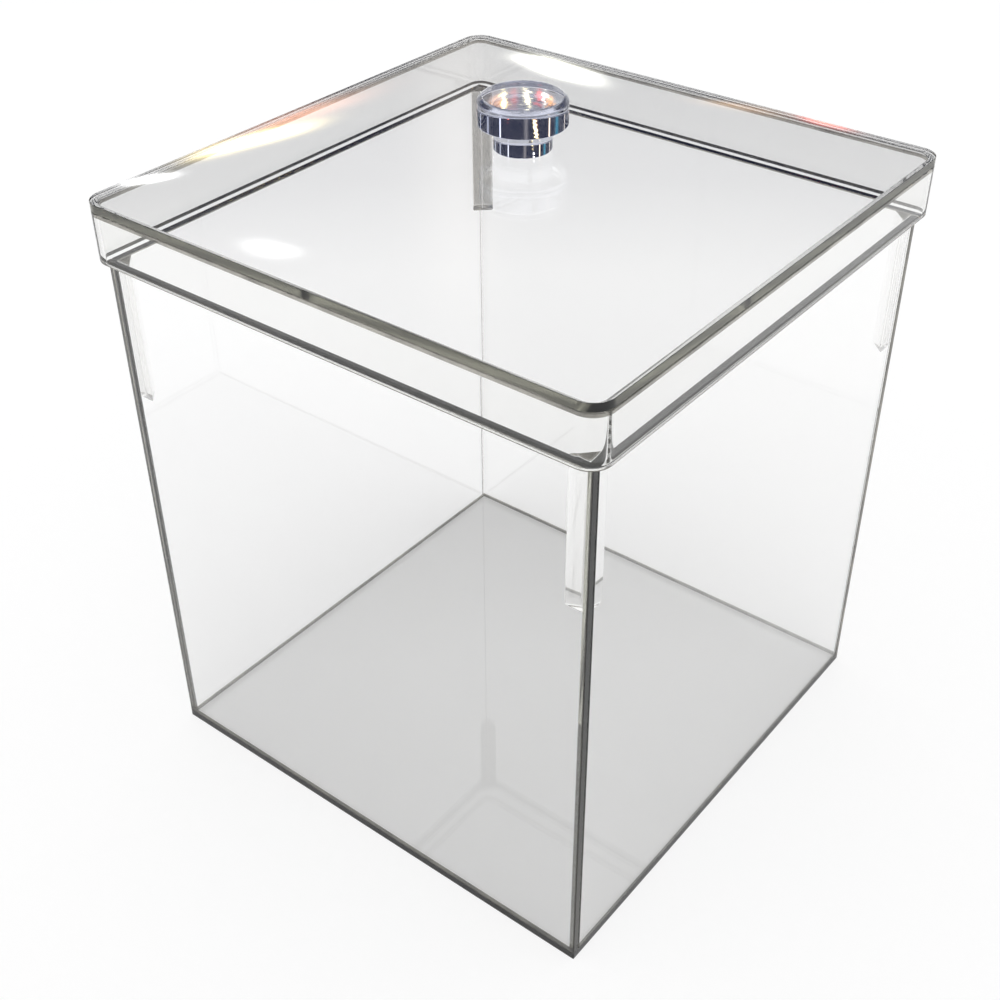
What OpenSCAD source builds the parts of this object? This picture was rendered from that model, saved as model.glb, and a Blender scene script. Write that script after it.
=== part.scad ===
// Clear square candy bin with a lift-off lid, built from flat acrylic sheet.
// The bin stands on z = 0, centred on the z axis, with its front towards -y.

/* [Bin] */
// Outer width and depth of the square bin
bin_w = 200; // [150:1:260]
// Height of the rim above the table
bin_h = 214; // [130:1:300]
// Thickness of the sheet that the bin and the lid are cut from
sheet = 3; // [2:0.5:5]

/* [Corner posts] */
// Length of the two short sides of a post's triangle
post_leg = 6.5; // [4:0.5:12]
// Length of a post, measured down from the rim
post_h = 54; // [20:1:100]

/* [Lid] */
// Height of the lid, from the skirt's lower edge to the top face
lid_h = 22; // [14:1:40]
// Clear gap between the bin's outer face and the inside of the skirt
lid_gap = 1; // [0.5:0.1:2]
// Outer radius of the skirt's bent corners
corner_r = 7.5; // [7:0.5:14]

/* [Knob] */
// Diameter of the head
head_d = 32; // [28:1:45]
// Height of the head
head_h = 10; // [7:0.5:14]
// Width of the 45 degree bevel round the head's top edge
head_bevel = 1.5; // [0.5:0.5:4]
// Diameter of the neck under the head
neck_d = 21; // [14:1:24]
// Height of the neck
neck_h = 9; // [6:0.5:16]
// Place of the knob's axis left or right of the lid's middle
knob_x = -14.5; // [-40:0.5:40]
// Place of the knob's axis in front of or behind the lid's middle
knob_y = 18.5; // [-40:0.5:40]

/* [Hidden] */

// Roundness of the turned and bent forms
round_fn = 96;

// The four walls stand on the base panel
wall_h = bin_h - sheet;
half_w = bin_w / 2;
// Half of the clear width between two facing walls
inner_half = half_w - sheet;

// The skirt stands outside the bin's walls, and its lower edge is level with the rim.
// The bin's square corners reach under the bent corners of the skirt, which rest on them.
skirt_half = half_w + lid_gap + sheet;
skirt_h = lid_h - sheet;
lid_top_z = bin_h + lid_h;
plate_z = bin_h + skirt_h;

clear_acrylic = [0.86, 0.90, 0.92, 0.35];
knob_acrylic = [0.72, 0.75, 0.84, 0.6];

// A square outline of half width h whose corners are true arcs of radius r
module rounded_square(h, r) {
    square([2 * h, 2 * (h - r)], center = true);
    square([2 * (h - r), 2 * h], center = true);
    for (sx = [-1, 1], sy = [-1, 1])
        translate([sx * (h - r), sy * (h - r)])
            circle(r, $fn = round_fn);
}

// The base panel is the full size of the bin, so its edge shows all round
module base_panel() {
    color(clear_acrylic)
        translate([-half_w, -half_w, 0])
            cube([bin_w, bin_w, sheet]);
}

// The front and back panels run the full width and cover the side panels' ends
module full_panel(side) {
    color(clear_acrylic)
        translate([-half_w, side > 0 ? inner_half : -half_w, sheet])
            cube([bin_w, sheet, wall_h]);
}

// The left and right panels fit between the front and the back one
module side_panel(side) {
    color(clear_acrylic)
        translate([side > 0 ? inner_half : -half_w, -inner_half, sheet])
            cube([sheet, 2 * inner_half, wall_h]);
}

// A triangular post fills an inner corner at the top, flush with the rim
module corner_post(sx, sy) {
    color(clear_acrylic)
        translate([0, 0, bin_h - post_h])
            linear_extrude(post_h)
                polygon([
                    [sx * inner_half, sy * inner_half],
                    [sx * (inner_half - post_leg), sy * inner_half],
                    [sx * inner_half, sy * (inner_half - post_leg)]
                ]);
}

// The skirt is one strip bent round four corners, of the same thickness all along
module lid_skirt() {
    color(clear_acrylic)
        translate([0, 0, bin_h])
            linear_extrude(skirt_h)
                difference() {
                    rounded_square(skirt_half, corner_r);
                    rounded_square(skirt_half - sheet, corner_r - sheet);
                }
}

// The top plate lies on the skirt, and its edge is flush with the skirt's outer face
module lid_top_plate() {
    color(clear_acrylic)
        translate([0, 0, plate_z])
            linear_extrude(sheet)
                rounded_square(skirt_half, corner_r);
}

// The neck is a plain disc that holds the head clear of the lid for the fingers
module knob_neck() {
    color(knob_acrylic)
        translate([knob_x, knob_y, lid_top_z])
            cylinder(h = neck_h, d = neck_d, $fn = round_fn);
}

// The head is a wider disc, turned with a bevel round its top edge
module knob_head() {
    color(knob_acrylic)
        translate([knob_x, knob_y, lid_top_z + neck_h])
            rotate_extrude($fn = round_fn)
                polygon([
                    [0, 0],
                    [head_d / 2, 0],
                    [head_d / 2, head_h - head_bevel],
                    [head_d / 2 - head_bevel, head_h],
                    [0, head_h]
                ]);
}

base_panel();
full_panel(-1);  // front_panel
full_panel(1);  // back_panel
side_panel(-1);  // left_panel
side_panel(1);  // right_panel
corner_post(-1, -1);  // post_front_left
corner_post(1, -1);  // post_front_right
corner_post(-1, 1);  // post_back_left
corner_post(1, 1);  // post_back_right
lid_skirt();
lid_top_plate();
knob_neck();
knob_head();
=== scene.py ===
"""Looks of a clear acrylic candy bin with a lift-off lid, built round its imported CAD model.

Every sheet, post and disc of the real bin is its own piece here too. All lengths are in metres.
"""

import math

import bmesh
import bpy
from bpy.props import FloatProperty, FloatVectorProperty, IntProperty, PointerProperty
from mathutils import Matrix, Vector


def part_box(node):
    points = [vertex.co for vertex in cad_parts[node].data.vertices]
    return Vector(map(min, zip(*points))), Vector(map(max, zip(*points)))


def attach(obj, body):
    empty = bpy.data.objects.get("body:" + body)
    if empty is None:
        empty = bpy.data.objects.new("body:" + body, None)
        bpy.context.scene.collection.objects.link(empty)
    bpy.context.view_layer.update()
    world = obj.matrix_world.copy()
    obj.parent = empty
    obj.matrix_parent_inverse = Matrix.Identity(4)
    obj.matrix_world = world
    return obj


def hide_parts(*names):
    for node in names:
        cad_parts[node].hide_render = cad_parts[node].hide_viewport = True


bl_info = {
    "name": "Clear Candy Bin",
    "version": (1, 0, 0),
    "blender": (4, 5, 0),
    "location": "3D View > Sidebar > Candy Bin",
    "description": "Builds the looks of a clear acrylic candy bin round its CAD model",
    "category": "Add Mesh",
}

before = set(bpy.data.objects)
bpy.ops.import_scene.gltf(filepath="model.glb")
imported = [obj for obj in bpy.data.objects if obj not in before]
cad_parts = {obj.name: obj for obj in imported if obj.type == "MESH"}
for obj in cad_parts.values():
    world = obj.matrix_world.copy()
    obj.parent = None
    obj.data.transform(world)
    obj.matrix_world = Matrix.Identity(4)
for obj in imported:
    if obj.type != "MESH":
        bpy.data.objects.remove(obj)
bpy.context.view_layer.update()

MM = 0.001

# The camera looks 38.4 degrees to the left of the y axis
CAMERA_TURN = 38.379

# Refractive index of acrylic
ACRYLIC_IOR = 1.49
# A face looks along a direction if its normal is within 14 degrees of it
ALONG = 0.97

# How dull a face is: how rough it is and how much painted shade it takes. A sawn rim is fully
# dull. An edge that guides light across the sheet to its other edge is half as dull, so that the
# painted shade isn't doubled, and a face where light goes on into the next sheet through the weld
# is painted opaque and as dark as the inside of the acrylic, as painted shade. So is the skirt's
# lower rounded edge.
HALF_DULL = 0.5
SAWN = 1.0
WELD_AND_SHADE = 2.0
# Weld heights of a sheet that has no clouded strip
NO_WELD = (0, 0)
# How far from the weld and from the outer face the bubbles lie
BUBBLE_DEPTH = 0.4 * MM
# The white backdrop reaches up to this rise of the direction, as the sine of its angle
BACKDROP_TOP = 0.22

# The flat sheets of the bin, each with the sides on which its cut edge or its weld shows, and
# how dull each is, which sets how much painted shade it takes
BIN_SHEETS = {
    "base_panel": {"-x": HALF_DULL, "x": HALF_DULL, "-y": HALF_DULL, "y": HALF_DULL},
    "front_panel": {"x": 0.9, "z": SAWN, "-z": WELD_AND_SHADE},
    "back_panel": {"-x": 0.6, "x": WELD_AND_SHADE, "z": SAWN, "-z": WELD_AND_SHADE},
    "left_panel": {"z": SAWN, "-z": WELD_AND_SHADE},
    "right_panel": {"z": SAWN, "-z": WELD_AND_SHADE},
}
# The posts, each with the sides of the bin's axis that its corner lies on, and how dull its
# long face is: the back left one's long face is dulled and darkened as painted shade
POSTS = {
    "post_front_left": (-1, -1, 0.0),
    "post_front_right": (1, -1, 0.0),
    "post_back_left": (-1, 1, 0.6),
    "post_back_right": (1, 1, 0.0),
}
SIDES = {
    "-x": Vector((-1, 0, 0)),
    "x": Vector((1, 0, 0)),
    "-y": Vector((0, -1, 0)),
    "y": Vector((0, 1, 0)),
    "z": Vector((0, 0, 1)),
    "-z": Vector((0, 0, -1)),
}


def linear(hex_colour):
    """Turn an sRGB hex colour into linear red, green and blue."""
    channels = [int(hex_colour[i:i + 2], 16) / 255 for i in (1, 3, 5)]
    return tuple(c / 12.92 if c <= 0.04045 else ((c + 0.055) / 1.055) ** 2.4 for c in channels)


def node_size(node, axis):
    """Give the length of a CAD node along one axis."""
    low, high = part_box(node)
    return (high - low)["xyz".index(axis)]


# Settings that a user would change


class BinSettings(bpy.types.PropertyGroup):
    """Sizes and finish of the bin's sheets and posts"""

    weld_gap: FloatProperty(
        name="Weld Line",
        description="Width of the fine line left between two glued sheets",
        default=0.02 * MM, min=0.005 * MM, max=0.1 * MM, precision=6, unit="LENGTH",
    )
    edge_break: FloatProperty(
        name="Edge Break",
        description="Width of the small bevel scraped along every cut edge",
        default=0.5 * MM, min=0.05 * MM, max=1 * MM, precision=5, unit="LENGTH",
    )
    weld_height: FloatProperty(
        name="Weld Height",
        description="Height of the strip over the base that the cement has clouded in the walls",
        default=0.6 * MM, min=0, max=3 * MM, precision=5, unit="LENGTH",
    )
    tint: FloatVectorProperty(
        name="Tint",
        description="Colour that white light has after 100 mm of the sheets",
        default=linear("#DCDCD5"), min=0, max=1, subtype="COLOR",
    )
    # The left sheet is given a clearer tint than the others as painted light, so that it shows lighter
    left_lit_tint: FloatVectorProperty(
        name="Left Lit Tint",
        description="Colour that white light has after 100 mm of the left sheet, which is clearer",
        default=linear("#FDFDFC"), min=0, max=1, subtype="COLOR",
    )
    # The posts' tint is greyer than the sheets' as painted shade, for the darker surroundings they
    # show
    post_shade_tint: FloatVectorProperty(
        name="Post Shade Tint",
        description="Colour that white light has after 100 mm of a corner post",
        default=linear("#8E8B80"), min=0, max=1, subtype="COLOR",
    )
    # The edge tint is partly a sawn edge's own grey and partly painted shade for light guided inside
    # the sheet
    edge_tint_and_shade: FloatVectorProperty(
        name="Edge Tint",
        description="Share of the light that a sawn edge lets through",
        default=linear("#6A675E"), min=0, max=1, subtype="COLOR",
    )


class LidSettings(bpy.types.PropertyGroup):
    """Sizes of the lid's bent skirt and its top plate"""

    corner_radius: FloatProperty(
        name="Corner Radius",
        description="Outer radius of the bent corners",
        default=7.5 * MM, min=4 * MM, max=20 * MM, precision=5, unit="LENGTH",
    )
    corner_steps: IntProperty(
        name="Corner Steps",
        description="Number of flats that make up one bent corner",
        default=24, min=6, max=64,
    )
    weld_height: FloatProperty(
        name="Weld Height",
        description="Height of the strip under the top plate that the cement has clouded",
        default=1.6 * MM, min=0, max=3 * MM, precision=5, unit="LENGTH",
    )
    edge_round: FloatProperty(
        name="Skirt Edge Round",
        description="Radius of the rounded edges of the bent strip",
        default=0.7 * MM, min=0.1 * MM, max=1.4 * MM, precision=5, unit="LENGTH",
    )
    plate_tint: FloatVectorProperty(
        name="Plate Tint",
        description="Colour that white light has after 100 mm of the top plate",
        default=linear("#D8D8D0"), min=0, max=1, subtype="COLOR",
    )
    skirt_tint: FloatVectorProperty(
        name="Skirt Tint",
        description="Colour that white light has after 100 mm of the bent strip",
        default=linear("#C8C8C4"), min=0, max=1, subtype="COLOR",
    )
    skirt_bloom: FloatVectorProperty(
        name="Skirt Bloom",
        description="Share of the light that the faces of the strip let through after the oven",
        default=linear("#F8F8F7"), min=0, max=1, subtype="COLOR",
    )


class KnobSettings(bpy.types.PropertyGroup):
    """Sizes and finish of the knob's two turned discs"""

    head_bevel: FloatProperty(
        name="Head Bevel",
        description="Width of the 45 degree bevel round the head's top edge",
        default=1.5 * MM, min=0.5 * MM, max=4 * MM, precision=5, unit="LENGTH",
    )
    ring_steps: IntProperty(
        name="Ring Steps",
        description="Number of flats round each disc",
        default=160, min=32, max=256,
    )
    tint: FloatVectorProperty(
        name="Tint",
        description="Colour that white light has after 100 mm of the acrylic",
        default=linear("#6A6F8C"), min=0, max=1, subtype="COLOR",
    )


class BubbleSettings(bpy.types.PropertyGroup):
    """Tiny air bubbles that the solvent leaves along the weld lines"""

    spacing: FloatProperty(
        name="Spacing",
        description="Mean distance between two bubbles along a weld line",
        default=1.7 * MM, min=0.5 * MM, max=20 * MM, precision=5, unit="LENGTH",
    )
    largest: FloatProperty(
        name="Largest Radius",
        description="Radius of the largest bubble",
        default=0.24 * MM, min=0.05 * MM, max=0.5 * MM, precision=5, unit="LENGTH",
    )
    seed: IntProperty(name="Seed", description="Picks another scatter of bubbles", default=7, min=0)


class StageSettings(bpy.types.PropertyGroup):
    """Floor, backdrop, lamps and camera"""

    floor_colour: FloatVectorProperty(
        name="Floor",
        description="Colour of the paper sweep that the bin stands on",
        default=linear("#FFFFFF"), min=0, max=1, subtype="COLOR",
    )
    ceiling_colour: FloatVectorProperty(
        name="Dark Strip",
        description="Dark cloth just above the backdrop, which gives clear edges their outline",
        default=linear("#262C48"), min=0, max=1, subtype="COLOR",
    )
    wall_colour: FloatVectorProperty(
        name="Wall",
        description="Grey wall between the dark strip and the soft light",
        default=linear("#B4B4B6"), min=0, max=1, subtype="COLOR",
    )
    overhead: FloatProperty(
        name="Overhead Light",
        description="Strength of the large soft light overhead",
        default=1.4, min=0, max=10,
    )
    lens: FloatProperty(
        name="Lens",
        description="Focal length of the camera on a 36 mm wide sensor",
        default=51.704, min=20, max=200, unit="CAMERA",
    )


# Meshes


def new_object(name, mesh):
    """Put a mesh into the scene under a name."""
    mesh.name = name
    made = bpy.data.objects.new(name, mesh)
    bpy.context.scene.collection.objects.link(made)
    return made


def loft(name, rings):
    """Join rings of points, from the lowest to the highest, into a closed solid."""
    shape = bmesh.new()
    rings = [[shape.verts.new(point) for point in ring] for ring in rings]
    shape.faces.new(reversed(rings[0]))
    shape.faces.new(rings[-1])
    count = len(rings[0])
    for lower, upper in zip(rings, rings[1:]):
        for i in range(count):
            j = (i + 1) % count
            shape.faces.new((lower[i], lower[j], upper[j], upper[i]))
    bmesh.ops.recalc_face_normals(shape, faces=shape.faces)
    mesh = bpy.data.meshes.new(name)
    shape.to_mesh(mesh)
    shape.free()
    return new_object(name, mesh)


def prism(name, outline, low, high):
    """Make an upright prism from an outline, from the height low to the height high."""
    return loft(name, [[(x, y, z) for x, y in outline] for z in (low, high)])


def turned(name, profile, centre, steps):
    """Turn a profile of (radius, height) points round an upright axis through centre."""
    angles = [2 * math.pi * i / steps for i in range(steps)]
    return loft(name, [
        [(centre.x + radius * math.cos(a), centre.y + radius * math.sin(a), height) for a in angles]
        for radius, height in profile
    ])


def rounded_square(half, radius, steps):
    """Give the outline of a square of half width half whose corners are arcs."""
    outline = []
    for quarter, (sx, sy) in enumerate(((1, 1), (-1, 1), (-1, -1), (1, -1))):
        for step in range(steps + 1):
            angle = math.pi / 2 * (quarter + step / steps)
            x = sx * (half - radius) + radius * math.cos(angle)
            y = sy * (half - radius) + radius * math.sin(angle)
            outline.append((x, y))
    return outline


def apply_modifiers(piece):
    """Turn the result of a piece's modifiers into its plain mesh."""
    graph = bpy.context.evaluated_depsgraph_get()
    made = bpy.data.meshes.new_from_object(piece.evaluated_get(graph))
    old = piece.data
    piece.modifiers.clear()
    piece.data = made
    bpy.data.meshes.remove(old)
    made.name = piece.name


def smooth_bends(mesh):
    """Round the bends and the broken edges, and keep every flat face flat up to its border.

    At each corner the largest face decides, together with those that are nearly as large.
    """
    meeting = [[] for _ in mesh.vertices]
    for face in mesh.polygons:
        for vertex in face.vertices:
            meeting[vertex].append(face)
    normals = []
    for vertex, faces in zip(mesh.vertices, meeting):
        largest = max(face.area for face in faces)
        deciding = [face.normal * face.area for face in faces if face.area > 0.4 * largest]
        normals.append(sum(deciding, Vector()).normalized())
    mesh.shade_smooth()
    mesh.normals_split_custom_set_from_vertices(normals)


def polish(piece, edge_break, sharp_heights=()):
    """Break the edges, but hardly those at the given heights, and smooth the bends.

    An edge is one where the faces turn by more than 30 degrees.
    """
    if edge_break:
        shape = bmesh.new()
        shape.from_mesh(piece.data)
        weight = shape.edges.layers.float.new("bevel_weight_edge")
        for edge in shape.edges:
            heights = [vertex.co.z for vertex in edge.verts]
            kept = any(max(abs(z - level) for z in heights) < 0.1 * MM for level in sharp_heights)
            sharp = edge.calc_face_angle() > math.radians(30)
            edge[weight] = sharp * (0.2 if kept else 1.0)
        shape.to_mesh(piece.data)
        shape.free()
        bevel = piece.modifiers.new("edge break", "BEVEL")
        bevel.width = edge_break
        bevel.segments = 2
        bevel.limit_method = "WEIGHT"
        bevel.use_clamp_overlap = True
        apply_modifiers(piece)
    smooth_bends(piece.data)


def mark_cut(piece, dullness):
    """Note on every face how dull it is. The function dullness gives that for a face."""
    cut = piece.data.attributes.new("cut_edge", "FLOAT", "FACE")
    cut.data.foreach_set("value", [dullness(face) for face in piece.data.polygons])


def sheet_dullness(face, sides):
    """Give how dull a face of a flat sheet is: a broken edge is as sawn, but not in a weld."""
    if max(abs(part) for part in face.normal) < ALONG:
        upright = abs(face.normal.z) < 0.1
        return 0.0 if upright and "x" not in sides else SAWN
    for side, dull in sides.items():
        if face.normal.dot(SIDES[side]) > ALONG:
            return dull
    return 0.0


def post_dullness(face, long_face, dull):
    """Give how dull a face of a post is: its top is sawn, and its long face is given."""
    if face.normal.z > ALONG:
        return SAWN
    return dull if face.normal.dot(long_face) > ALONG else 0.0


def strip_dullness(face):
    """Give how dull a face of the skirt is: only its rounded outer edges are dull.

    The lower one is painted opaque and dark as a line of painted shade, and the upper one gets a
    sawn edge's roughness and painted shade.
    """
    outward = face.normal.x * face.center.x + face.normal.y * face.center.y > 0
    if not outward or not 0.05 < abs(face.normal.z) < ALONG:
        return 0.0
    return SAWN if face.normal.z > 0 else WELD_AND_SHADE


def seat(piece, node, body, material):
    """Let a finished piece stand for its CAD node, ride on its body and take its material."""
    piece.data.materials.clear()
    piece.data.materials.append(material)
    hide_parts(node)
    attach(piece, body)


# Nodes


def add(tree, kind, inputs=None, **settings):
    """Add a node with its settings, and feed its inputs with values or with other sockets."""
    made = tree.nodes.new(kind)
    for key, value in settings.items():
        setattr(made, key, value)
    for socket, value in (inputs or {}).items():
        target = made.inputs[socket]
        if isinstance(value, bpy.types.NodeSocket):
            tree.links.new(value, target)
        else:
            target.default_value = value
    return made


def maths(tree, operation, *values):
    """Add a sum on values or sockets, and give the socket with its result."""
    return add(tree, "ShaderNodeMath", dict(enumerate(values)), operation=operation).outputs[0]


def mapped(tree, value, source, target):
    """Carry a value from the range source to the range target, and give the socket."""
    return add(tree, "ShaderNodeMapRange", {
        "Value": value, "From Min": source[0], "From Max": source[1],
        "To Min": target[0], "To Max": target[1],
    }).outputs[0]


def noise(tree, place, size, detail=2.0, seed=None):
    """Add noise whose patches have about the given size, and give the socket."""
    inputs = {"Vector": place, "Scale": 1 / size, "Detail": detail}
    if seed is None:
        return add(tree, "ShaderNodeTexNoise", inputs).outputs["Fac"]
    inputs["W"] = seed
    return add(tree, "ShaderNodeTexNoise", inputs, noise_dimensions="4D").outputs["Fac"]


def new_tree(name, sockets):
    """Start a Geometry Nodes tree with named inputs, and give it with its input node."""
    tree = bpy.data.node_groups.new(name, "GeometryNodeTree")
    for label, kind in sockets.items():
        tree.interface.new_socket(label, in_out="INPUT", socket_type=kind)
    tree.interface.new_socket("Geometry", in_out="OUTPUT", socket_type="NodeSocketGeometry")
    return tree, tree.nodes.new("NodeGroupInput")


def end_tree(tree, geometry, material):
    """End a tree in real geometry that has its material."""
    real = add(tree, "GeometryNodeRealizeInstances", {0: geometry})
    dressed = add(tree, "GeometryNodeSetMaterial", {"Geometry": real.outputs[0], "Material": material})
    output = tree.nodes.new("NodeGroupOutput")
    tree.links.new(dressed.outputs[0], output.inputs[0])


def grow(piece, tree, values):
    """Run a tree on a piece with the given input values."""
    modifier = piece.modifiers.new(tree.name, "NODES")
    modifier.node_group = tree
    for item in tree.interface.items_tree:
        if item.in_out == "INPUT" and item.name in values:
            modifier[item.identifier] = values[item.name]


# Materials


def new_material(name):
    """Start an empty node material, and give it with its tree and its output node."""
    material = bpy.data.materials.new(name)
    material.use_nodes = True
    material.node_tree.nodes.clear()
    return material, material.node_tree, material.node_tree.nodes.new("ShaderNodeOutputMaterial")


def absorb(tree, output, tint):
    """Let the solid turn white light into the tint over 100 mm."""
    loss = [-math.log(max(channel, 0.001)) / (100 * MM) for channel in tint]
    density = max(loss)
    colour = [1 - value / density for value in loss] + [1]
    volume = add(tree, "ShaderNodeVolumeAbsorption", {"Color": colour, "Density": density})
    tree.links.new(volume.outputs[0], output.inputs["Volume"])


def acrylic_sheet(name, tint, edge_tint_and_shade, seed, weld, face_tint=(1, 1, 1)):
    """Cast acrylic sheet, sawn to size.

    The eye gets glass-clear faces with the slow waviness of cast sheet, satin grey edges with
    fine saw streaks, whose grey is partly painted shade, and between the two weld heights a strip
    that the cement has clouded.
    """
    material, tree, output = new_material(name)
    place = add(tree, "ShaderNodeTexCoord").outputs["Object"]
    cut = add(tree, "ShaderNodeAttribute", attribute_name="cut_edge").outputs["Fac"]
    height = add(tree, "ShaderNodeSeparateXYZ", {0: place}).outputs["Z"]
    near_weld = maths(tree, "COMPARE", height, (weld[0] + weld[1]) / 2, (weld[1] - weld[0]) / 2)
    normal = add(tree, "ShaderNodeNewGeometry").outputs["True Normal"]
    slope = add(tree, "ShaderNodeSeparateXYZ", {0: normal}).outputs["Z"]
    upright = maths(tree, "COMPARE", slope, 0.0, 0.5)
    clouded = maths(tree, "MULTIPLY", near_weld, upright)
    cut = maths(tree, "MAXIMUM", cut, clouded)
    # Cast sheet varies in thickness over some 60 mm
    waves = noise(tree, place, 60 * MM, 1.0, seed)
    # Saw streaks are some 0.4 mm apart, and are drawn 1.2 mm apart so that they show
    streaks = noise(tree, place, 1.2 * MM, 2.0, seed)
    haze = noise(tree, place, 25 * MM, 4.0, seed + 3)
    face_haze = mapped(tree, haze, (0.5, 0.8), (0.0, 0.012))
    edge_haze = mapped(tree, streaks, (0.3, 0.7), (0.08, 0.22))
    roughness = add(tree, "ShaderNodeMix", {"Factor": cut, "A": face_haze, "B": edge_haze})
    # The edge is a little lighter and darker along its length, over some 12 mm
    patches = noise(tree, place, 12 * MM, 3.0, seed + 5)
    shade = mapped(tree, patches, (0.35, 0.65), (0.5, 1.6))
    # Sawn faces take the edge tint, which is partly painted shade
    sawn_tint_and_shade = add(tree, "ShaderNodeVectorMath", {0: edge_tint_and_shade, "Scale": shade}, operation="SCALE")
    colour = add(tree, "ShaderNodeMix", {
        "Factor": cut, "A": (*face_tint, 1), "B": sawn_tint_and_shade.outputs[0],
    }, data_type="RGBA")
    # A welded face lets no light through, nor does the skirt's lower rounded edge: both are painted
    # shade
    open_face = maths(tree, "LESS_THAN", cut, (SAWN + WELD_AND_SHADE) / 2)
    saw = maths(tree, "MULTIPLY", streaks, cut)
    wavy = add(tree, "ShaderNodeBump", {"Height": waves, "Distance": 0.04 * MM, "Strength": 1.0})
    sawn = add(tree, "ShaderNodeBump", {
        "Height": saw, "Distance": 0.003 * MM, "Strength": 1.0, "Normal": wavy.outputs[0],
    })
    shader = add(tree, "ShaderNodeBsdfPrincipled", {
        "Base Color": colour.outputs["Result"],
        "IOR": ACRYLIC_IOR,
        "Transmission Weight": open_face,
        "Roughness": roughness.outputs[0],
        "Normal": sawn.outputs[0],
    })
    tree.links.new(shader.outputs[0], output.inputs["Surface"])
    absorb(tree, output, tint)
    return material


def acrylic_turned(name, tint, centre):
    """Acrylic rod, turned and buffed.

    The eye gets a bright, deep body whose faces keep very fine rings from the lathe tool, and a
    bevel that is left as cut, so that it glitters.
    """
    material, tree, output = new_material(name)
    place = add(tree, "ShaderNodeTexCoord").outputs["Object"]
    moved = add(tree, "ShaderNodeMapping", {"Vector": place, "Location": (-centre.x, -centre.y, 0)})
    # The lathe tool leaves rings 0.1 mm apart. At this scale they are 5 mm apart, so that they show
    rings = add(tree, "ShaderNodeTexWave", {
        "Vector": moved.outputs[0], "Scale": 62.5, "Distortion": 0.4,
    }, wave_type="RINGS", rings_direction="Z")
    buffed = noise(tree, place, 4 * MM, 3.0)
    roughness = mapped(tree, buffed, (0.45, 0.8), (0.0, 0.02))
    bump = add(tree, "ShaderNodeBump", {
        "Height": rings.outputs["Fac"], "Distance": 0.002 * MM, "Strength": 1.0,
    })
    # The lathe tool tears out chips of 0.1 mm on the bevel, drawn 0.5 mm wide so that they show
    cut = add(tree, "ShaderNodeAttribute", attribute_name="cut_edge").outputs["Fac"]
    chips = noise(tree, place, 0.5 * MM)
    frost = mapped(tree, chips, (0.58, 0.7), (0.0, 0.3))
    frosted = maths(tree, "MULTIPLY", cut, frost)
    clear = maths(tree, "SUBTRACT", 1.0, frosted)
    torn = maths(tree, "MULTIPLY", chips, cut)
    chipped = add(tree, "ShaderNodeBump", {
        "Height": torn, "Distance": 0.06 * MM, "Strength": 1.0, "Normal": bump.outputs[0],
    })
    shader = add(tree, "ShaderNodeBsdfPrincipled", {
        "Base Color": (1, 1, 1, 1),
        "IOR": ACRYLIC_IOR,
        "Transmission Weight": clear,
        "Roughness": roughness,
        "Normal": chipped.outputs[0],
    })
    tree.links.new(shader.outputs[0], output.inputs["Surface"])
    absorb(tree, output, tint)
    return material


def air_bubble(name):
    """Air shut in by the solvent weld. The eye gets tiny bright and dark specks in the edge."""
    material, tree, output = new_material(name)
    place = add(tree, "ShaderNodeTexCoord").outputs["Object"]
    roughness = mapped(tree, noise(tree, place, 0.3 * MM), (0.0, 1.0), (0.0, 0.1))
    shader = add(tree, "ShaderNodeBsdfPrincipled", {
        "Base Color": (1, 1, 1, 1), "IOR": ACRYLIC_IOR, "Transmission Weight": 1.0,
        "Roughness": roughness,
    })
    tree.links.new(shader.outputs[0], output.inputs["Surface"])
    return material


def sweep_paper(name, colour):
    """Matt white paper sweep.

    Seen by the camera, by gloss and through the acrylic it is a white ground that keeps the soft
    shadow, and it lights the bin as plain paper does.
    """
    material, tree, output = new_material(name)
    place = add(tree, "ShaderNodeTexCoord").outputs["Object"]
    fibre = noise(tree, place, 2 * MM, 3.0)
    grain = add(tree, "ShaderNodeBump", {"Height": fibre, "Distance": 0.01 * MM})
    paper = add(tree, "ShaderNodeBsdfDiffuse", {"Color": (*colour, 1), "Normal": grain.outputs[0]})
    ground = add(tree, "ShaderNodeEmission", {"Color": (1, 1, 1, 1), "Strength": 1.0})
    path = add(tree, "ShaderNodeLightPath").outputs
    gloss = maths(tree, "MAXIMUM", path["Is Camera Ray"], path["Is Glossy Ray"])
    seen = maths(tree, "MAXIMUM", gloss, path["Is Transmission Ray"])
    # Straight to the camera the ground is whiter than through the bin or in a reflection
    bright = mapped(tree, path["Is Camera Ray"], (0.0, 1.0), (0.33, 0.8))
    share = maths(tree, "MULTIPLY", seen, bright)
    mixed = add(tree, "ShaderNodeMixShader", {
        "Fac": share, 1: paper.outputs[0], 2: ground.outputs[0],
    })
    tree.links.new(mixed.outputs[0], output.inputs["Surface"])
    return material


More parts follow.
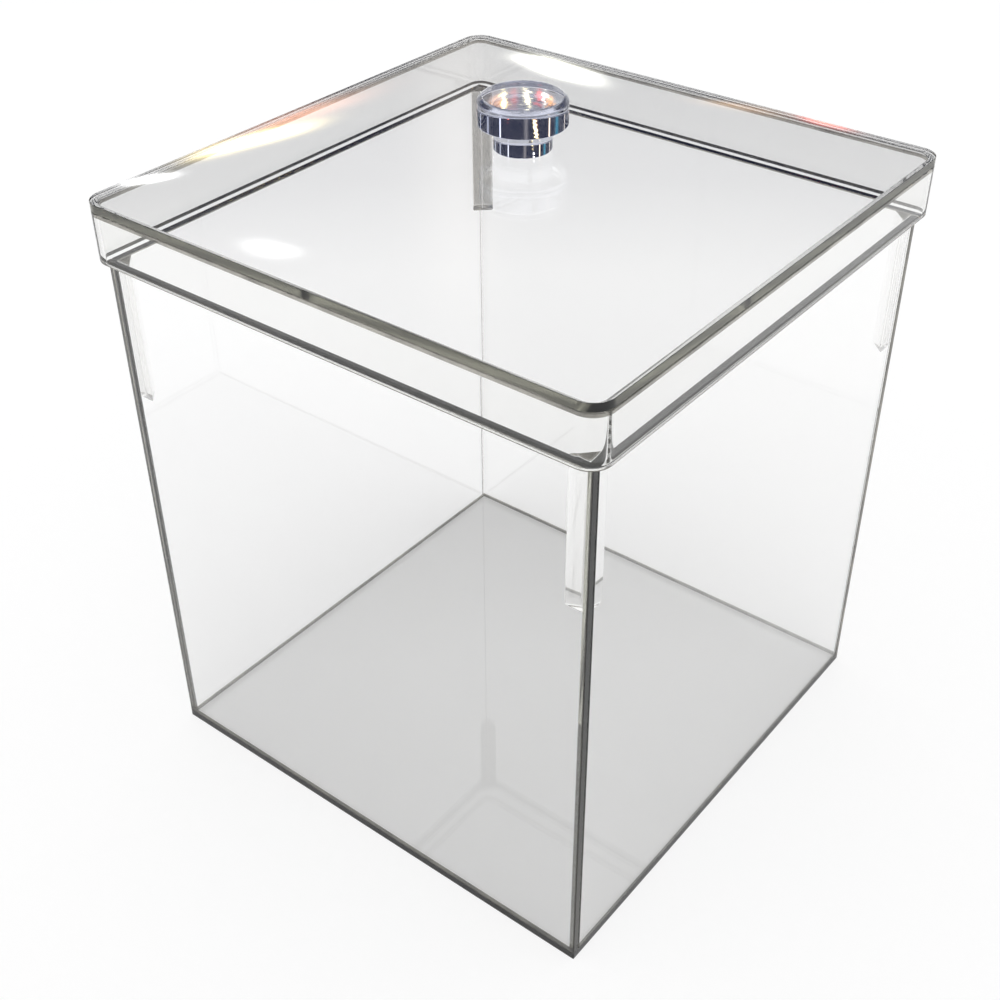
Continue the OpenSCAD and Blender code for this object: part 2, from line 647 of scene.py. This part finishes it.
# Lamps of the studio: where each stands, as degrees to the right of the camera's aim and degrees
# above the floor, its width and height in degrees, its tilt in degrees, its colour and strength
GLOWS = (
    # Soft lamps that show as flares in the lid
    ((-10.2, 21.95), (1.7, 0.18), -10, "#FFE9A8", 22),
    ((-8.4, 21.2), (2.4, 0.28), -14, "#FFB08A", 2.5),
    ((-14.6, 23.0), (0.75, 0.11), -4, "#FFFFFF", 22),
    ((2.5, 19.7), (1.05, 0.21), 15, "#FFFFF2", 30),
    ((13.4, 21.2), (0.8, 0.12), 9, "#FF6E5C", 10),
    ((10.2, 20.9), (1.5, 0.14), 6, "#FFC890", 1.5),
    ((-9.88, 26.1), (0.8, 0.22), 12, "#FFFFFF", 5),
    # Tall light bars that show as upright streaks on the knob
    ((-1.7, 22), (1.6, 7), 0, "#C8C0B4", 0.6),
    ((22.3, 22), (0.6, 7), 0, "#DCDEE6", 4),
    ((-24.7, 22), (0.7, 7), 0, "#FFE6C4", 4),
    ((-36, 22), (2.6, 7), 0, "#4FB0C4", 0.9),
    ((40, 22), (1.5, 7), 0, "#C8CCD4", 1.5),
    ((-55, 22), (0.8, 7), 0, "#FFF2DC", 2.5),
    ((60, 22), (0.9, 7), 0, "#E8ECF4", 2.5),
    # Small warm lamps that show as flames in the knob's top
    ((0.28, 20.86), (0.09, 0.24), 0, "#FFEFAC", 16),
    ((0.1, 20.9), (0.28, 0.22), 0, "#C07A28", 5),
    ((0.69, 20.7), (0.14, 0.25), 0, "#8A2010", 6),
    ((1.22, 20.73), (0.08, 0.22), -25, "#FFF4C8", 16),
    ((1.72, 20.68), (0.10, 0.2), 0, "#E03020", 6),
    ((1.92, 20.72), (0.07, 0.15), 0, "#FFF6E8", 14),
    ((2.15, 20.88), (0.10, 0.18), 0, "#F0A030", 6),
)


def glow(tree, way, light, aim, size, tilt, colour, strength):
    """Add a soft oval lamp to the studio's light."""
    turn = math.radians(CAMERA_TURN - aim[0])
    rise = math.radians(aim[1])
    ahead = Vector((-math.sin(turn) * math.cos(rise), math.cos(turn) * math.cos(rise), math.sin(rise)))
    side = ahead.cross(Vector((0, 0, 1))).normalized()
    top = side.cross(ahead)
    lean = math.radians(tilt)
    wide = side * math.cos(lean) + top * math.sin(lean)
    high = top * math.cos(lean) - side * math.sin(lean)
    parts = []
    for axis, degrees in ((wide, size[0]), (high, size[1])):
        reach = add(tree, "ShaderNodeVectorMath", {
            0: way, 1: axis / math.sin(math.radians(degrees)),
        }, operation="DOT_PRODUCT").outputs["Value"]
        parts.append(maths(tree, "MULTIPLY", reach, reach))
    minus = maths(tree, "MULTIPLY", maths(tree, "ADD", *parts), -1.0)
    fall = maths(tree, "POWER", math.e, minus)
    front = add(tree, "ShaderNodeVectorMath", {0: way, 1: ahead}, operation="DOT_PRODUCT")
    facing = maths(tree, "GREATER_THAN", front.outputs["Value"], 0.0)
    amount = maths(tree, "MULTIPLY", fall, facing)
    bright = add(tree, "ShaderNodeVectorMath", {
        0: [channel * strength for channel in colour], "Scale": amount,
    }, operation="SCALE")
    both = add(tree, "ShaderNodeVectorMath", {0: light, 1: bright.outputs[0]}, operation="ADD")
    return both.outputs[0]


# Operators, one for each piece or group of like pieces


class CANDY_OT_sheets(bpy.types.Operator):
    """Build the base and the four walls of the bin, each with broken edges"""

    bl_idname = "candy_bin.sheets"
    bl_label = "Bin Sheets"

    def execute(self, context):
        settings = context.scene.candy_bin
        inset = settings.weld_gap / 2
        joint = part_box("base_panel")[1].z
        sharp_heights = [0, joint]
        weld = (joint, joint + settings.weld_height)
        for seed, (node, sides) in enumerate(BIN_SHEETS.items()):
            low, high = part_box(node)
            low = low + Vector((inset,) * 3)
            high = high - Vector((inset,) * 3)
            outline = [(low.x, low.y), (high.x, low.y), (high.x, high.y), (low.x, high.y)]
            sheet = prism("visual_" + node, outline, low.z, high.z)
            polish(sheet, settings.edge_break, sharp_heights)
            mark_cut(sheet, lambda face: sheet_dullness(face, sides))
            # The left sheet's clearer tint is painted light
            tint = settings.left_lit_tint if node == "left_panel" else settings.tint
            name = "cast acrylic " + node.replace("_", " ")
            material = acrylic_sheet(name, tint, settings.edge_tint_and_shade, seed, weld)
            seat(sheet, node, "bin", material)
        return {"FINISHED"}


class CANDY_OT_posts(bpy.types.Operator):
    """Build the four triangular rods in the bin's upper corners"""

    bl_idname = "candy_bin.posts"
    bl_label = "Corner Posts"

    def execute(self, context):
        settings = context.scene.candy_bin
        inset = settings.weld_gap / 2
        # The rods' greyer tint is painted shade
        material = acrylic_sheet(
            "extruded acrylic rod", settings.post_shade_tint, settings.edge_tint_and_shade, 11, NO_WELD,
        )
        for node, (sx, sy, dull) in POSTS.items():
            low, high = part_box(node)
            x_corner, x_tip = (high.x, low.x) if sx > 0 else (low.x, high.x)
            y_corner, y_tip = (high.y, low.y) if sy > 0 else (low.y, high.y)
            x_corner -= sx * inset
            y_corner -= sy * inset
            outline = [(x_corner, y_corner), (x_tip, y_corner), (x_corner, y_tip)]
            post = prism("visual_" + node, outline, low.z + inset, high.z - inset)
            polish(post, settings.edge_break)
            long_face = Vector((-sx, -sy, 0)).normalized()
            mark_cut(post, lambda face: post_dullness(face, long_face, dull))
            seat(post, node, "bin", material)
        return {"FINISHED"}


class CANDY_OT_skirt(bpy.types.Operator):
    """Bend one strip round the four corners of the lid"""

    bl_idname = "candy_bin.skirt"
    bl_label = "Lid Skirt"

    def execute(self, context):
        sheet = context.scene.candy_bin
        lid = context.scene.candy_lid
        low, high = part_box("lid_skirt")
        inset = sheet.weld_gap / 2
        thickness = node_size("lid_top_plate", "z") - 2 * inset
        tree, given = new_tree("bent strip", {
            "Width": "NodeSocketFloat",
            "Thickness": "NodeSocketFloat",
            "Height": "NodeSocketFloat",
            "Middle Height": "NodeSocketFloat",
            "Corner Radius": "NodeSocketFloat",
            "Corner Steps": "NodeSocketInt",
            "Edge Round": "NodeSocketFloat",
            "Material": "NodeSocketMaterial",
        })
        width = maths(tree, "SUBTRACT", given.outputs["Width"], given.outputs["Thickness"])
        radius = maths(
            tree, "MULTIPLY_ADD", given.outputs["Thickness"], -0.5, given.outputs["Corner Radius"],
        )
        path = add(tree, "GeometryNodeCurvePrimitiveQuadrilateral", {"Width": width, "Height": width})
        bent = add(tree, "GeometryNodeFilletCurve", {
            "Curve": path.outputs[0], "Radius": radius, "Count": given.outputs["Corner Steps"],
        }, mode="POLY")
        upright = add(tree, "GeometryNodeSetCurveNormal", {"Curve": bent.outputs[0]}, mode="Z_UP")
        section = add(tree, "GeometryNodeCurvePrimitiveQuadrilateral", {
            "Width": given.outputs["Thickness"], "Height": given.outputs["Height"],
        })
        broken = add(tree, "GeometryNodeFilletCurve", {
            "Curve": section.outputs[0], "Radius": given.outputs["Edge Round"], "Count": 5,
        }, mode="POLY")
        strip = add(tree, "GeometryNodeCurveToMesh", {
            "Curve": upright.outputs[0], "Profile Curve": broken.outputs[0],
        })
        lift = add(tree, "ShaderNodeCombineXYZ", {"Z": given.outputs["Middle Height"]})
        placed = add(tree, "GeometryNodeTransform", {
            "Geometry": strip.outputs[0], "Translation": lift.outputs[0],
        })
        end_tree(tree, placed.outputs[0], given.outputs["Material"])

        weld = (high.z - lid.weld_height, high.z)
        material = acrylic_sheet(
            "bent acrylic strip", lid.skirt_tint, sheet.edge_tint_and_shade, 21, weld, lid.skirt_bloom,
        )
        skirt = new_object("visual_lid_skirt", bpy.data.meshes.new("strip"))
        grow(skirt, tree, {
            "Width": high.x - low.x - 2 * inset,
            "Thickness": thickness,
            "Height": high.z - low.z - 2 * inset,
            "Middle Height": (low.z + high.z) / 2,
            "Corner Radius": lid.corner_radius,
            "Corner Steps": lid.corner_steps,
            "Edge Round": lid.edge_round,
            "Material": material,
        })
        apply_modifiers(skirt)
        shape = bmesh.new()
        shape.from_mesh(skirt.data)
        bmesh.ops.recalc_face_normals(shape, faces=shape.faces)
        shape.to_mesh(skirt.data)
        shape.free()
        polish(skirt, 0)
        mark_cut(skirt, strip_dullness)
        seat(skirt, "lid_skirt", "lid", material)
        return {"FINISHED"}


class CANDY_OT_top_plate(bpy.types.Operator):
    """Build the plate with rounded corners that lies on the skirt"""

    bl_idname = "candy_bin.top_plate"
    bl_label = "Lid Top Plate"

    def execute(self, context):
        sheet = context.scene.candy_bin
        lid = context.scene.candy_lid
        low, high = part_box("lid_top_plate")
        inset = sheet.weld_gap / 2
        outline = rounded_square(high.x - inset, lid.corner_radius, lid.corner_steps)
        plate = prism("visual_lid_top_plate", outline, low.z + inset, high.z - inset)
        polish(plate, sheet.edge_break / 3)
        # The plate's side edges are half as dull as a sawn edge, with half its painted shade
        mark_cut(plate, lambda face: HALF_DULL if abs(face.normal.z) < ALONG else 0.0)
        material = acrylic_sheet(
            "cast acrylic lid plate", lid.plate_tint, sheet.edge_tint_and_shade, 31, NO_WELD,
        )
        seat(plate, "lid_top_plate", "lid", material)
        return {"FINISHED"}


class CANDY_OT_knob(bpy.types.Operator):
    """Turn the knob's neck and its bevelled head"""

    bl_idname = "candy_bin.knob"
    bl_label = "Knob"

    def execute(self, context):
        sheet = context.scene.candy_bin
        knob = context.scene.candy_knob
        inset = sheet.weld_gap / 2
        for node in ("knob_neck", "knob_head"):
            low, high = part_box(node)
            centre = (low + high) / 2
            radius = (high.x - low.x) / 2 - inset
            bottom, top = low.z + inset, high.z - inset
            profile = [(radius, bottom), (radius, top)]
            if node == "knob_head":
                bevel = knob.head_bevel
                profile = [(radius, bottom), (radius, top - bevel), (radius - bevel, top)]
            disc = turned("visual_" + node, profile, centre, knob.ring_steps)
            polish(disc, sheet.edge_break)
            mark_cut(disc, lambda face: SAWN if 0.3 < face.normal.z < ALONG else 0.0)
            material = acrylic_turned("turned acrylic " + node.replace("_", " "), knob.tint, centre)
            seat(disc, node, "lid", material)
        return {"FINISHED"}


class CANDY_OT_bubbles(bpy.types.Operator):
    """Scatter tiny air bubbles along the weld under the lid's plate and along the base's weld"""

    bl_idname = "candy_bin.bubbles"
    bl_label = "Weld Bubbles"

    def execute(self, context):
        bubbles = context.scene.candy_bubbles
        tree, given = new_tree("weld bubbles", {
            "Width": "NodeSocketFloat",
            "Corner Radius": "NodeSocketFloat",
            "Spacing": "NodeSocketFloat",
            "Spread": "NodeSocketVector",
            "Largest Radius": "NodeSocketFloat",
            "Height": "NodeSocketFloat",
            "Seed": "NodeSocketInt",
            "Material": "NodeSocketMaterial",
        })
        path = add(tree, "GeometryNodeCurvePrimitiveQuadrilateral", {
            "Width": given.outputs["Width"], "Height": given.outputs["Width"],
        })
        seam = add(tree, "GeometryNodeFilletCurve", {
            "Curve": path.outputs[0], "Radius": given.outputs["Corner Radius"], "Count": 8,
        }, mode="POLY")
        spots = add(tree, "GeometryNodeCurveToPoints", {
            "Curve": seam.outputs[0], "Length": given.outputs["Spacing"],
        }, mode="LENGTH")
        back = add(tree, "ShaderNodeVectorMath", {
            0: given.outputs["Spread"], "Scale": -1.0,
        }, operation="SCALE")
        shift = add(tree, "FunctionNodeRandomValue", {
            "Min": back.outputs[0], "Max": given.outputs["Spread"], "Seed": given.outputs["Seed"],
        }, data_type="FLOAT_VECTOR")
        strewn = add(tree, "GeometryNodeSetPosition", {
            "Geometry": spots.outputs["Points"], "Offset": shift.outputs["Value"],
        })
        ball = add(tree, "GeometryNodeMeshIcoSphere", {
            "Radius": given.outputs["Largest Radius"], "Subdivisions": 2,
        })
        share = add(tree, "FunctionNodeRandomValue", {
            "Min": 0.2, "Max": 1.0, "Seed": given.outputs["Seed"],
        }, data_type="FLOAT")
        copies = add(tree, "GeometryNodeInstanceOnPoints", {
            "Points": strewn.outputs[0], "Instance": ball.outputs[0], "Scale": share.outputs["Value"],
        })
        lift = add(tree, "ShaderNodeCombineXYZ", {"Z": given.outputs["Height"]})
        placed = add(tree, "GeometryNodeTransform", {
            "Geometry": copies.outputs[0], "Translation": lift.outputs[0],
        })
        end_tree(tree, placed.outputs[0], given.outputs["Material"])

        material = air_bubble("air in the solvent weld")
        plate_low, plate_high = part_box("lid_top_plate")
        base_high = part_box("base_panel")[1]
        lid_corner = context.scene.candy_lid.corner_radius - BUBBLE_DEPTH
        for body, outer, height, corner in (
            ("lid", plate_high.x, plate_low.z - BUBBLE_DEPTH, lid_corner),
            ("bin", base_high.x, base_high.z + BUBBLE_DEPTH, 0.5 * MM),
        ):
            strewn_bubbles = new_object("weld_bubbles_" + body, bpy.data.meshes.new("bubbles"))
            grow(strewn_bubbles, tree, {
                "Width": 2 * (outer - BUBBLE_DEPTH),
                "Corner Radius": corner,
                "Spacing": bubbles.spacing,
                "Spread": (0.1 * MM,) * 3,
                "Largest Radius": bubbles.largest,
                "Height": height,
                "Seed": bubbles.seed,
                "Material": material,
            })
            apply_modifiers(strewn_bubbles)
            strewn_bubbles.data.shade_smooth()
            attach(strewn_bubbles, body)
        return {"FINISHED"}


class CANDY_OT_stage(bpy.types.Operator):
    """Lay the white floor, light it softly and set up the camera"""

    bl_idname = "candy_bin.stage"
    bl_label = "Stage"

    def execute(self, context):
        settings = context.scene.candy_stage
        scene = context.scene
        scene.view_settings.view_transform = "Standard"

        mesh = bpy.data.meshes.new("floor")
        reach = 6.0
        corners = [(-reach, -reach, 0), (reach, -reach, 0), (reach, reach, 0), (-reach, reach, 0)]
        mesh.from_pydata(corners, [], [(0, 1, 2, 3)])
        floor = new_object("floor", mesh)
        mesh.materials.append(sweep_paper("matt paper sweep", settings.floor_colour))

        world = bpy.data.worlds.new("studio")
        scene.world = world
        world.use_nodes = True
        tree = world.node_tree
        tree.nodes.clear()
        way = add(tree, "ShaderNodeTexCoord").outputs["Generated"]
        height = add(tree, "ShaderNodeSeparateXYZ", {0: way}).outputs["Z"]
        # From the backdrop up, the light passes the dark strip and the wall to the soft light
        rise = add(tree, "ShaderNodeValToRGB", {"Fac": height})
        ramp = rise.color_ramp.elements
        ramp[0].position, ramp[0].color = 0.0, (1, 1, 1, 1)
        ramp[1].position, ramp[1].color = 1.0, (settings.overhead,) * 3 + (1,)
        for position, colour in (
            (BACKDROP_TOP, (1, 1, 1)),
            (0.29, settings.ceiling_colour),
            (0.40, settings.ceiling_colour),
            (0.46, settings.wall_colour),
            (0.54, settings.wall_colour),
            (0.60, (0.78,) * 3),
            (0.68, (settings.overhead,) * 3),
        ):
            ramp.new(position).color = (*colour, 1)
        light = rise.outputs["Color"]
        for aim, size, tilt, colour, strength in GLOWS:
            light = glow(tree, way, light, aim, size, tilt, linear(colour), strength)
        # The camera sees white all round, and gloss and the clear sheets see it low down
        backdrop = maths(tree, "LESS_THAN", height, BACKDROP_TOP)
        path = add(tree, "ShaderNodeLightPath").outputs
        gloss = maths(tree, "MAXIMUM", path["Is Glossy Ray"], path["Is Transmission Ray"])
        low_gloss = maths(tree, "MULTIPLY", gloss, backdrop)
        seen = maths(tree, "MAXIMUM", low_gloss, path["Is Camera Ray"])
        colour = add(tree, "ShaderNodeMix", {
            "Factor": seen, "A": light, "B": (1, 1, 1, 1),
        }, data_type="RGBA")
        sky = add(tree, "ShaderNodeBackground", {"Color": colour.outputs["Result"], "Strength": 1.0})
        output = tree.nodes.new("ShaderNodeOutputWorld")
        tree.links.new(sky.outputs[0], output.inputs["Surface"])

        camera = bpy.data.cameras.new("camera")
        camera.sensor_width = 36
        camera.lens = settings.lens
        camera.clip_start = 0.01
        camera.clip_end = 50
        viewer = bpy.data.objects.new("camera", camera)
        scene.collection.objects.link(viewer)
        # The camera stands 0.63 m away, in front and to the right, and looks down at the bin
        right = Vector((0.78640766, 0.61768363, -0.00547163))
        up = Vector((-0.36281901, 0.46905793, 0.80519999))
        back = Vector((0.49992536, -0.63123022, 0.59297811))
        turn = Matrix((right, up, back)).transposed().to_4x4()
        viewer.matrix_world = Matrix.Translation((0.275841, -0.362313, 0.435252)) @ turn
        scene.camera = viewer

        # Light crosses many clear faces before it leaves the bin
        scene.cycles.max_bounces = 32
        scene.cycles.transmission_bounces = 32
        scene.cycles.glossy_bounces = 32
        scene.cycles.diffuse_bounces = 4
        return {"FINISHED"}


class CANDY_PT_panel(bpy.types.Panel):
    """List the bin's pieces in the sidebar"""

    bl_label = "Candy Bin"
    bl_idname = "CANDY_PT_panel"
    bl_space_type = "VIEW_3D"
    bl_region_type = "UI"
    bl_category = "Candy Bin"

    def draw(self, context):
        for operator in OPERATORS:
            self.layout.operator(operator.bl_idname)


SETTINGS = {
    "candy_bin": BinSettings,
    "candy_lid": LidSettings,
    "candy_knob": KnobSettings,
    "candy_bubbles": BubbleSettings,
    "candy_stage": StageSettings,
}
OPERATORS = (
    CANDY_OT_sheets,
    CANDY_OT_posts,
    CANDY_OT_skirt,
    CANDY_OT_top_plate,
    CANDY_OT_knob,
    CANDY_OT_bubbles,
    CANDY_OT_stage,
)


def register():
    """Register the settings, the operators and the panel."""
    for name, group in SETTINGS.items():
        bpy.utils.register_class(group)
        setattr(bpy.types.Scene, name, PointerProperty(type=group))
    for operator in OPERATORS:
        bpy.utils.register_class(operator)
    bpy.utils.register_class(CANDY_PT_panel)


def unregister():
    """Take the panel, the operators and the settings out again."""
    bpy.utils.unregister_class(CANDY_PT_panel)
    for operator in reversed(OPERATORS):
        bpy.utils.unregister_class(operator)
    for name, group in SETTINGS.items():
        delattr(bpy.types.Scene, name)
        bpy.utils.unregister_class(group)


def main():
    """Build the pieces and the stage."""
    register()
    bpy.ops.candy_bin.sheets()
    bpy.ops.candy_bin.posts()
    bpy.ops.candy_bin.skirt()
    bpy.ops.candy_bin.top_plate()
    bpy.ops.candy_bin.knob()
    bpy.ops.candy_bin.bubbles()
    bpy.ops.candy_bin.stage()


if __name__ == "__main__":
    main()
